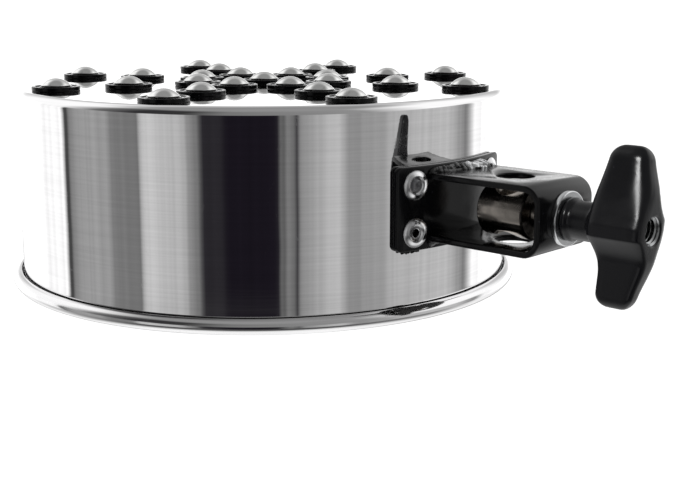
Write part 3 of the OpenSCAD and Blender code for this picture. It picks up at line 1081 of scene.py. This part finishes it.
def saddle_mesh(bracket, pan):
    """The curved saddle plate: a flat plate with round corners, bent round the wall."""
    width = SADDLE_BOX[1].y - SADDLE_BOX[0].y
    height = SADDLE_BOX[1].z - SADDLE_BOX[0].z
    corner, thick = bracket.saddle_corner, bracket.saddle_thickness
    inner = pan.wall_radius + bracket.saddle_gap
    outer = inner + thick
    outline = []
    for y_side, z_side, start in ((1, 1, 90), (-1, 1, 180), (-1, -1, 270), (1, -1, 360)):
        middle = (y_side * (width / 2 - corner), z_side * (height / 2 - corner))
        outline += arc(middle, corner, start - 90, start)
    flat = prism("saddle", [(y, z, 0.0) for y, z in outline], (0.0, 0.0, thick))
    side, level = bracket.rivet_side * inner / outer, bracket.rivet_level
    below, above = -0.002, 0.005
    drills = [drill(bracket.rivet_shank / 2 + PLAY, (y, z, below), (y, z, above), 32)
              for y in (-side, side) for z in (-level, level)]
    work = bmesh.new()
    work.from_mesh(cut_and_bevel("saddle", flat, drills, bracket.edge_radius))
    strips = 56
    for i in range(1, strips):
        bmesh.ops.bisect_plane(work, geom=work.verts[:] + work.edges[:] + work.faces[:],
                               plane_co=(width * (i / strips - 0.5), 0, 0), plane_no=(1, 0, 0))

    def bent(turn, depth, z):
        """A place on the plate once it is bent, from its turn round the wall and its depth."""
        return ((inner + depth) * math.cos(turn) - pan.axis_x, (inner + depth) * math.sin(turn),
                z)

    for vertex in work.verts:
        y, z, depth = vertex.co
        vertex.co = bent(math.asin(y / outer), depth, z)
    # The burrs hang in a row from the lower near corner
    for i in range(9):
        turn = -math.asin((0.45 - 0.015 * i) * width / outer)
        size = BURR_SIZE + BURR_SPREAD * noise.noise(Vector((i * 1.7, 0.3, 0.9)))
        spot = Vector(bent(turn, BURR_DEPTH, -height / 2 - size * 0.4))
        lump = bmesh.ops.create_icosphere(work, subdivisions=3, radius=size)
        for vertex in lump["verts"]:
            rough = 1 + 0.6 * noise.noise(vertex.co * 2600 + Vector((i, 0, 0)))
            vertex.co = vertex.co * rough * 1.25 + spot
    return mesh_from(work, "saddle")


def strap_mesh(bracket, pan):
    """The steel strip bent to a U, with the rod's holes in its arms and the bolt's in its end."""
    root = -(pan.axis_x - pan.wall_radius - bracket.saddle_gap - bracket.saddle_thickness * 0.25)
    reach, half_w, half_h = STRAP_BOX[1]
    thick, bend = bracket.strap_thickness, bracket.bend_radius
    middle = (reach - bend, half_h - bend)
    outer = [(root, half_h)] + arc(middle, bend, 90, 0)
    inner = [(root, half_h - thick)] + arc(middle, bend - thick, 90, 0)
    ring = outer + [(x, -z) for x, z in reversed(outer)]
    ring += [(x, -z) for x, z in inner] + inner[::-1]
    solid = prism("strap", [(x, -half_w, z) for x, z in ring], (0.0, 2 * half_w, 0.0))
    past = half_h * 2
    rod = drill(bracket.rod_hole / 2, (0, 0, -past), (0, 0, past))
    bolt = drill(bracket.bolt_hole / 2, (reach - 2 * thick, 0, 0), (reach + thick, 0, 0), 64)
    return cut_and_bevel("strap", solid, [rod, bolt], bracket.edge_radius)


def weld_mesh(bracket, pan, side, swell, seed):
    """A weld bead along the strap's root: overlapping lumps, taller where more metal was laid."""
    centre_r = pan.wall_radius + bracket.saddle_gap + bracket.saddle_thickness
    half_angle = math.asin(STRAP_BOX[1].y / centre_r)
    rings, around = 220, 32
    rows = []
    for i in range(rings + 1):
        t = i / rings
        turn = half_angle * (2 * t - 1)
        taper = math.sqrt(max(0.0, 1 - (2 * t - 1) ** 20))
        # Each puddle overlaps the one before: a scallop that rises slowly and ends at a step
        puddle = (t * 11 + 0.3 * math.sin(t * 19 + seed)) % 1.0
        scallop = 0.10 * math.sin(math.pi * puddle ** 0.6)
        wide = smooth_step(t * 1.8 - 0.6) if side > 0 else 0.2
        spill = 1 + 1.1 * wide
        row = []
        for j in range(around):
            a = math.tau * j / around
            spot = Vector((math.cos(a), math.sin(a), t * 6.0 + seed))
            lump = noise.noise(spot) * 0.42 + noise.noise(spot * 2.6) * 0.2
            size = bracket.weld_radius * swell(t) * (0.95 + scallop + lump * (1 - 0.6 * wide))
            radius = centre_r + size * max(math.cos(a) * spill, math.cos(a)) * taper
            height = side * (STRAP_BOX[1].z + size * math.sin(a) * taper / spill ** 0.4)
            row.append((radius * math.cos(turn) - pan.axis_x, radius * math.sin(turn), height))
        rows.append(row)
    return mesh_from(lofted(rows), "weld")


# Rows of points across one turn of the thread, as (share of the pitch, share of its depth)
THREAD_ROWS = ((0.0, 0.0), (0.10, 0.0), (0.22, 0.33), (0.33, 0.70), (0.44, 1.0), (0.56, 1.0),
               (0.67, 0.70), (0.78, 0.33), (0.90, 0.0))


def thread_mesh(pitch, root, crest, start, end, limit, segments=64):
    """A threaded cylinder along X between two faces. limit gives the radius from the thread's
    own radius and the place along the axis. The thread's phase is the same for any start."""
    rows = []
    for turn_number in range(math.floor(start / pitch) - 1, math.ceil(end / pitch) + 1):
        for share, depth in THREAD_ROWS:
            row = []
            for j in range(segments + 1):
                x = min(max((turn_number + share + j / segments) * pitch, start), end)
                radius = limit(root + (crest - root) * depth, x)
                a = math.tau * j / segments
                row.append((x, radius * math.cos(a), radius * math.sin(a)))
            rows.append(row)
    work = lofted(rows, closed=False)
    merge(work, MERGE_DISTANCE * 5)
    edges = [edge for edge in work.edges if edge.is_boundary]
    bmesh.ops.holes_fill(work, edges=edges, sides=0)
    return mesh_from(work, "thread")


def eyebolt_mesh(bolt, bracket):
    """The bolt: a cylindrical head drilled across for the rod, and a threaded shank."""
    back, end = BOLT_BOX[0].x, BOLT_BOX[1].x
    eye = (BOLT_BOX[1].z - BOLT_BOX[0].z) / 2
    front, chamfer, shank = bolt.eye_front, bolt.eye_chamfer, bolt.thread_diameter / 2
    neck, fillet, relief = front + 0.0012, 0.0006, 0.0004
    start_depth, end_depth = 0.0006, 0.0009
    outline = [
        (0.0, back), (eye - chamfer, back), (eye, back + chamfer), (eye, front - chamfer),
        (eye - chamfer, front), (shank + fillet, front), (shank - relief, front + fillet),
        (shank - relief, neck + 0.001), (0.0, neck + 0.001),
    ]
    head = turned_mesh("eyebolt_head", outline, axle, segments=96)
    face_outward(head)
    rod = drill(bracket.rod_hole / 2, (0, 0, -2 * eye), (0, 0, 2 * eye))
    head = cut_and_bevel("eyebolt_head", head, [rod], 0.0003, 2)

    def limit(radius, x):
        """The thread runs out at the neck and is chamfered at the end."""
        return min(radius, shank - end_depth + max(0.0, end - x) * 0.9,
                   shank - start_depth + max(0.0, x - neck) * 0.8)

    thread = thread_mesh(bolt.pitch, shank - bolt.pitch * 0.6, shank, neck, end, limit)
    return joined("eyebolt", [head, thread])


def wing_section(bolt, t):
    """The wings' limits at a height t, from -1 at one tip to 1: back, front, near and far side.
    One side runs straight from the boss to the tip and the other is hollow, and the lower wing
    has them the other way round, like a flat S seen along the bolt."""
    out = abs(t)
    half_span, boss, tip = bolt.wing_span / 2, bolt.boss_diameter / 2, bolt.tip_width / 2
    outer = NUT_BOX[1].x
    past = max(0.0, out - boss / half_span) / (1 - boss / half_span)
    front = outer - bolt.tip_fall * smooth_step(past * 1.05)
    # The back edge sweeps forward along the upper wing, and soon along the lower one
    sweep = 0.35 * out + 0.65 * smooth_step(out) if t > 0 else smooth_step(out * 1.6)
    back = outer - bolt.wing_depth + (bolt.wing_depth - bolt.tip_fall - bolt.tip_depth) * sweep
    straight = tip + (boss - tip) * (1 - out) ** 1.15
    foot = bolt.root_width / 2 - (bolt.root_width / 2 - tip) * out
    # From a ridge just off the middle, the hollow side falls in like a quarter of an ellipse
    fall = min(1.0, max(0.0, (out * half_span - boss * 0.44) / boss))
    hollow = foot + (boss - foot) * (1 - math.sin(fall * math.pi / 2) ** 0.9)
    return (back, front, -straight, hollow) if t > 0 else (back, front, -hollow, straight)


# Powers of the wings' corners: a lower one is keener
KEEN_CORNER = 0.26
SOFT_CORNER = 0.75


def rounded_loop(half_x, half_y, near_power, far_power, count):
    """Points round a rectangle with soft corners, as a superellipse whose two front corners
    have powers of their own."""
    points = []
    for i in range(count):
        a = math.tau * i / count
        c, s = math.cos(a), math.sin(a)
        power = KEEN_CORNER if c < 0 else near_power if s < 0 else far_power
        points.append((half_x * math.copysign(abs(c) ** power, c),
                       half_y * math.copysign(abs(s) ** power, s)))
    return points


def wing_mesh(bolt):
    """Both wings and their boss as one lofted form, before the hub and the thread."""
    levels, count, corner, least = 160, 64, 0.0040, 1e-5
    half_span = bolt.wing_span / 2
    rows = []
    for i in range(levels + 1):
        # Levels crowd towards the tips, where the form rounds off
        t = math.sin((i / levels - 0.5) * math.pi)
        back, front, near, far = wing_section(bolt, t)
        close = min(1.0, (1 - abs(t)) * half_span / corner)
        pull = corner * (1 - math.sqrt(max(0.0, 1 - (1 - close) ** 2)))
        half_x = max((front - back) / 2 - pull, least)
        half_y = max((far - near) / 2 * (1 - 0.9 * pull / corner), least)
        soft = KEEN_CORNER + (SOFT_CORNER - KEEN_CORNER) * smooth_step(abs(t) * 2.2 - 0.2)
        powers = (soft, KEEN_CORNER) if t > 0 else (KEEN_CORNER, soft)
        rows.append([((front + back) / 2 + dx, (far + near) / 2 + dy, t * half_span)
                     for dx, dy in rounded_loop(half_x, half_y, *powers, count)])
    return mesh_from(lofted(rows), "wings")


def wing_nut_mesh(bolt):
    """The cast wing nut: wings, boss and hub blended, with a real thread through it."""
    start, outer = NUT_BOX[0].x, NUT_BOX[1].x
    hub, rim = bolt.hub_diameter / 2, bolt.hub_diameter / 2 + bolt.collar_rise
    collar, inside = start + bolt.collar_length, start + bolt.hub_length + 0.004
    soft, mouth = 0.0004, 0.0007
    hub_outline = [
        (0.0, start), (rim - soft, start), (rim, start + soft), (rim, collar - soft),
        (rim - soft, collar), (hub, collar + soft), (hub, start + bolt.hub_length),
        (hub * 0.98, inside), (0.0, inside),
    ]
    hub_part = turned_mesh("hub", hub_outline, axle, segments=128)
    face_outward(hub_part)
    form = modified("wing_nut", wing_mesh(bolt), boolean("UNION", hub_part))
    # Even small faces, then smoothed, so that the casting's parts blend
    body = modified("wing_nut", form,
                    ("REMESH", {"mode": "VOXEL", "voxel_size": 0.00034,
                                "use_smooth_shade": True}),
                    ("SMOOTH", {"factor": 0.5, "iterations": 9}))
    body.transform(Matrix.Rotation(-bolt.wing_tilt, 4, "X"))
    crest = bolt.thread_diameter / 2 + PLAY

    def limit(radius, x):
        """The thread opens to a cone at both mouths."""
        return max(radius, crest + mouth - min(max(0.0, outer - x), max(0.0, x - start)))

    tap = thread_mesh(bolt.pitch, crest - bolt.pitch * 0.54, crest, start - 0.001,
                      outer + 0.001, limit)
    return cut_and_bevel("wing_nut", body, [tap])


# Operators


# How far each loose rivet and washer is turned from the one before, so that no two look alike
STUD_TURN = 1.7


def settings(context):
    """The scene's sizes and colours, in the order of PROPERTY_GROUPS."""
    return [getattr(context.scene, name) for name in PROPERTY_GROUPS]


class SHAKER_OT_add_pan(Operator):
    """Add the spun pan with its rolled bead and its holes"""
    bl_idname = "shaker.add_pan"
    bl_label = "Add spun pan"

    def execute(self, context):
        pan, star, bracket, _, colours = settings(context)
        add_turned(
            "spun_pan", pan_outline(pan), spun_pan, pan_finish(colours, pan), "polished_pan",
            "pan_shell", segments=pan.segments, axis=pan.axis_x, top=pan.top, arms=star.arms,
            rings=star.rings, step=star.step, stud_hole=star.hole_radius,
            wall_radius=pan.wall_radius, rivet_side=bracket.rivet_side * WALL_SHARE,
            rivet_level=bracket.rivet_level, rivet_hole=bracket.rivet_shank / 2 + PLAY,
            cut_depth=6 * pan.sheet)
        return {"FINISHED"}


def add_star(context, name, outline, finish, slot, node):
    """One turned piece at every place of the star, each on its own body."""
    pan, star, *_ = settings(context)
    for i in STUD_NUMBERS:
        number = f"{i + 1:02d}"
        add_turned(f"{name}_{number}", outline, stud_piece, finish, slot, f"{node}_{number}",
                   f"rattler_{number}", segments=star.segments, number=i, arms=star.arms,
                   step=star.step, axis=pan.axis_x, top=pan.top, turn=i * STUD_TURN)
    return {"FINISHED"}


class SHAKER_OT_add_loose_rivets(Operator):
    """Add the star of loose rivets, one on each moving body"""
    bl_idname = "shaker.add_loose_rivets"
    bl_label = "Add loose rivets"

    def execute(self, context):
        pan, star, _, _, colours = settings(context)
        return add_star(context, "loose_rivet", rivet_outline(star, pan.sheet),
                        rivet_finish(colours), "satin_rivet", "rattle_rivet")


class SHAKER_OT_add_black_washers(Operator):
    """Add the black washers under the loose rivets"""
    bl_idname = "shaker.add_black_washers"
    bl_label = "Add black washers"

    def execute(self, context):
        _, star, _, _, colours = settings(context)
        return add_star(context, "black_washer", pad_outline(star), plastic_finish(colours),
                        "black_plastic", "pad_washer")


class SHAKER_OT_add_bracket(Operator):
    """Add the saddle plate, the bent strap and its welds"""
    bl_idname = "shaker.add_bracket"
    bl_label = "Add bracket"

    def execute(self, context):
        pan, _, bracket, _, colours = settings(context)
        finish = paint_finish(colours)
        add_piece("saddle", saddle_mesh(bracket, pan), finish, "black_paint", "saddle_plate")
        add_piece("strap", strap_mesh(bracket, pan), finish, "black_paint", "clamp_strap")
        upper = weld_mesh(bracket, pan, 1, lambda t: 0.9 + 0.55 * smooth_step(t * 1.4), 3.0)
        lower = weld_mesh(bracket, pan, -1, lambda t: 1.15 - 0.45 * smooth_step(t * 2), 8.0)
        add_piece("weld_beads", joined("welds", [upper, lower]), weld_finish(colours),
                  "black_paint", "strap_welds")
        return {"FINISHED"}


class SHAKER_OT_add_bracket_rivets(Operator):
    """Add the blind rivets that hold the saddle plate, and the broken pins in three of them"""
    bl_idname = "shaker.add_bracket_rivets"
    bl_label = "Add bracket rivets"

    def execute(self, context):
        pan, _, bracket, _, colours = settings(context)
        radius = pan.wall_radius + bracket.saddle_gap + bracket.saddle_thickness
        depth = radius - (pan.wall_radius - pan.sheet) + PLAY
        places = {"radius": radius, "axis": pan.axis_x, "side": bracket.rivet_side,
                  "level": bracket.rivet_level}
        add_turned("blind_rivets", bracket_rivet_outline(bracket, depth), bracket_piece,
                   bracket_rivet_finish(colours, pan.axis_x, radius), "bright_rivet",
                   "bracket_rivets", segments=64, **places)
        add_turned("broken_pins", pin_outline(bracket, depth), bracket_piece,
                   pin_finish(colours), "grey_steel", "rivet_pins", segments=32, missing=0,
                   **places)
        return {"FINISHED"}


class SHAKER_OT_add_eyebolt(Operator):
    """Add the eyebolt and its bright washer"""
    bl_idname = "shaker.add_eyebolt"
    bl_label = "Add eyebolt and washer"

    def execute(self, context):
        _, _, bracket, bolt, colours = settings(context)
        add_piece("cross_drilled_bolt", eyebolt_mesh(bolt, bracket), plating_finish(colours),
                  "bolt_plating", "eyebolt", body="eyebolt")
        add_turned("bright_washer", washer_outline(bolt), axle, zinc_finish(colours),
                   "zinc_steel", "bolt_washer", segments=96)
        return {"FINISHED"}


class SHAKER_OT_add_wing_nut(Operator):
    """Add the cast wing nut with its thread"""
    bl_idname = "shaker.add_wing_nut"
    bl_label = "Add wing nut"

    def execute(self, context):
        _, _, _, bolt, colours = settings(context)
        add_piece("cast_wing_nut", wing_nut_mesh(bolt), casting_finish(colours, bolt),
                  "black_casting", "wing_nut", body="wing_nut")
        return {"FINISHED"}


# Stage

# The studio's panels and the gaps between them, round the horizon, as (azimuth from +X in
# degrees, grey): a lit backdrop, a grey flat, a white panel, the dark room behind the camera,
# a second white panel, a pale wall and the backdrop again
HORIZON = (
    (-146, 1.0),
    (-143.5, 0.3), (-141.5, 0.27), (-140.5, 0.48), (-135, 0.6), (-118, 0.6), (-115, 0.48),
    (-101, 0.44),
    (-99.5, 0.76), (-94, 0.76), (-79, 0.67), (-77, 0.53), (-73, 0.45),
    (-71, 0.18), (-63, 0.18), (-60, 0.12), (-40, 0.12), (-38, 0.15),
    (-36.5, 0.4), (-35.5, 0.26), (-34.5, 0.5), (-31, 0.42), (-29.2, 0.18), (-28, 0.54),
    (-11, 0.74), (-6, 0.55),
    (11, 0.6), (14, 0.68), (48, 0.73), (58, 0.57), (61, 0.44),
    (69, 1.0),
)
# The same for the ceiling and for what lies below the horizon
CEILING = (
    (-180, 1.0), (-150, 1.0), (-126, 0.42), (-105, 0.20), (-82, 0.22), (-62, 0.46), (5, 0.56),
    (40, 1.0), (86, 1.0), (110, 0.76), (132, 0.68), (154, 0.76), (172, 1.0), (180, 1.0),
)
GROUND = (
    (-180, 0.95), (-140, 0.6), (-100, 0.32), (-20, 0.27), (40, 0.5), (75, 0.95), (104, 0.90),
    (114, 0.52), (126, 0.44), (129, 0.80), (143, 0.74), (146, 0.50), (154, 0.58), (164, 0.92),
    (180, 0.95),
)
ZENITH = 0.55
NADIR = 0.97
# Heights of a unit ray between which each part of the studio gives way to the next
TO_CEILING = (0.11, 0.26)
TO_ZENITH = (0.70, 0.92)
TO_GROUND = (-0.24, -0.36)
TO_NADIR = (-0.52, -0.90)
# Behind the shaker the backdrop is brighter than plain white, and the ground begins higher.
# Both grow with how far a ray points that way, as Y - X.
BACKDROP = (0.55, 1.1)
BACKDROP_GAIN = 0.3
HIGH_GROUND = (1.12, 1.34)
GROUND_RISE = 0.11
# How unevenly the panels are lit, and how many changes there are for each radian round them
UNEVEN_LIGHT = (0.92, 1.07)
UNEVEN_SCALE = 13.0
STUDIO_STRENGTH = 1.15
# Exponent from an sRGB grey to a linear one
GAMMA = 2.2

# The photograph's viewing angle: the camera's place in metres, its turn and its lens
CAMERA_PLACE = (0.213033, -0.308094, 0.069739)
CAMERA_YAW = math.radians(43.055)
CAMERA_PITCH = math.radians(10.783)
CAMERA_LENS = 64.004
CAMERA_SHIFT = -0.05
FLOOR_DROP = 0.65
FLOOR_RADIUS = 60.0

# A narrow lamp for the edge light on the wing nut
NUT_LAMP_PLACE = (-0.016, -0.545, 0.43)
NUT_LAMP_SIZE = (0.16, 0.1)
NUT_LAMP_POWER = 2.0


def cast(grey):
    """A linear colour from an sRGB grey: the dark parts of the studio are a little violet."""
    dark = max(0.0, 0.22 - grey)
    return (*[(grey * tone) ** GAMMA for tone in (1.0, 1 - 0.9 * dark, 1 + 1.1 * dark)], 1.0)


def ramp(nodes, share, stops):
    """A colour ramp over the azimuth."""
    colour_at = nodes.add("ShaderNodeValToRGB", {"Fac": share})
    elements = colour_at.output.node.color_ramp.elements
    while len(elements) > 1:
        elements.remove(elements[-1])
    for i, (azimuth, grey) in enumerate(stops):
        place = (azimuth + 180) / 360
        stop = elements[0] if i == 0 else elements.new(place)
        stop.position, stop.color = place, cast(grey)
    return colour_at


def studio_world(scene):
    """Soft light from all round with the darker gaps of a studio, and a pale background."""
    scene.world = bpy.data.worlds.new("studio")
    scene.world.use_nodes = True
    nodes = Nodes(scene.world.node_tree)
    ray = nodes.split(nodes.add("ShaderNodeTexCoord")["Generated"])
    rise = ray["Z"]
    behind = ray["Y"] - ray["X"]
    azimuth = ray["Y"].math("ARCTAN2", ray["X"])
    share = azimuth.math("MULTIPLY_ADD", 1 / math.tau, 0.5)
    uneven = nodes.add("ShaderNodeTexNoise", {"W": azimuth, "Scale": UNEVEN_SCALE,
                                              "Detail": 2.0, "Roughness": 0.6},
                       noise_dimensions="1D")
    light = nodes.vector("SCALE", ramp(nodes, share, HORIZON),
                         Scale=nodes.mapped(uneven, 0.3, 0.7, *UNEVEN_LIGHT))
    gain = nodes.eased(behind, *BACKDROP).math("MULTIPLY_ADD", BACKDROP_GAIN, 1.0)
    light = nodes.vector("SCALE", light, Scale=gain)
    light = nodes.mixed(nodes.eased(rise, *TO_CEILING), light, ramp(nodes, share, CEILING))
    light = nodes.mixed(nodes.eased(rise, *TO_ZENITH), light, cast(ZENITH))
    low = nodes.eased(behind, *HIGH_GROUND).math("MULTIPLY_ADD", -GROUND_RISE, rise)
    light = nodes.mixed(nodes.eased(low, *TO_GROUND), light, ramp(nodes, share, GROUND))
    light = nodes.mixed(nodes.eased(rise, *TO_NADIR), light, cast(NADIR))
    seen = nodes.add("ShaderNodeLightPath")["Is Camera Ray"]
    shader = nodes.tree.nodes["Background"].inputs
    nodes.put(nodes.mixed(seen, light, (1.0, 1.0, 1.0, 1.0)), shader["Color"])
    nodes.put(STUDIO_STRENGTH, shader["Strength"])


def add_nut_lamp():
    """A narrow soft lamp that lights only the wing nut."""
    lamp = bpy.data.lights.new("strip", "AREA")
    lamp.shape = "RECTANGLE"
    lamp.size, lamp.size_y = NUT_LAMP_SIZE
    lamp.energy = NUT_LAMP_POWER
    holder = add_object("strip", lamp)
    holder.location = NUT_LAMP_PLACE
    aim = box_middle(NUT_BOX) - Vector(NUT_LAMP_PLACE)
    holder.rotation_euler = aim.to_track_quat("-Z", "Y").to_euler()
    receivers = bpy.data.collections.new("strip lit")
    receivers.objects.link(bpy.data.objects["cast_wing_nut"])
    holder.light_linking.receiver_collection = receivers


class SHAKER_OT_set_stage(Operator):
    """Add the floor, the studio's light and the camera"""
    bl_idname = "shaker.set_stage"
    bl_label = "Set stage"

    def execute(self, context):
        scene = context.scene
        work = bmesh.new()
        bmesh.ops.create_circle(work, cap_ends=True, segments=96, radius=FLOOR_RADIUS,
                                matrix=Matrix.Translation((0, 0, -FLOOR_DROP)))
        floor = add_object("floor", mesh_from(work, "floor"))
        floor.data.materials.append(floor_finish(scene.shaker_finishes))
        floor.visible_glossy = False
        floor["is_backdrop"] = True
        studio_world(scene)
        camera = bpy.data.cameras.new("camera")
        camera.lens, camera.shift_y, camera.clip_end = CAMERA_LENS, CAMERA_SHIFT, 200
        scene.camera = add_object("camera", camera)
        scene.camera.location = CAMERA_PLACE
        scene.camera.rotation_euler = (math.pi / 2 - CAMERA_PITCH, 0, CAMERA_YAW)
        scene.view_settings.view_transform = "Standard"
        add_nut_lamp()
        return {"FINISHED"}


PIECES = (
    SHAKER_OT_add_pan,
    SHAKER_OT_add_loose_rivets,
    SHAKER_OT_add_black_washers,
    SHAKER_OT_add_bracket,
    SHAKER_OT_add_bracket_rivets,
    SHAKER_OT_add_eyebolt,
    SHAKER_OT_add_wing_nut,
    SHAKER_OT_set_stage,
)


class SHAKER_PT_pieces(Panel):
    """Sizes, colours and pieces of the shaker"""
    bl_idname = "SHAKER_PT_pieces"
    bl_label = "Mountable shaker"
    bl_space_type = "VIEW_3D"
    bl_region_type = "UI"
    bl_category = "Shaker"

    def draw(self, context):
        layout = self.layout
        for piece in PIECES:
            layout.operator(piece.bl_idname)
        for name, properties in PROPERTY_GROUPS.items():
            box = layout.box()
            for prop in properties.__annotations__:
                box.prop(getattr(context.scene, name), prop)


CLASSES = (*PROPERTY_GROUPS.values(), *PIECES, SHAKER_PT_pieces)


def register():
    """Registers the classes and gives the scene its sizes and colours."""
    for cls in CLASSES:
        bpy.utils.register_class(cls)
    for name, properties in PROPERTY_GROUPS.items():
        setattr(bpy.types.Scene, name, PointerProperty(type=properties))


def unregister():
    """Takes the scene's sizes and colours away and unregisters the classes."""
    for name in PROPERTY_GROUPS:
        delattr(bpy.types.Scene, name)
    for cls in reversed(CLASSES):
        bpy.utils.unregister_class(cls)


def main():
    """Makes every piece and the stage, and gathers the two boxes."""
    register()
    for piece in PIECES:
        prefix, name = piece.bl_idname.split(".")
        getattr(getattr(bpy.ops, prefix), name)()
    boxes = {"cad": [list(corner) for corner in CAD_BOX],
             "visual": [list(corner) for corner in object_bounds()]}


if __name__ == "__main__":
    main()
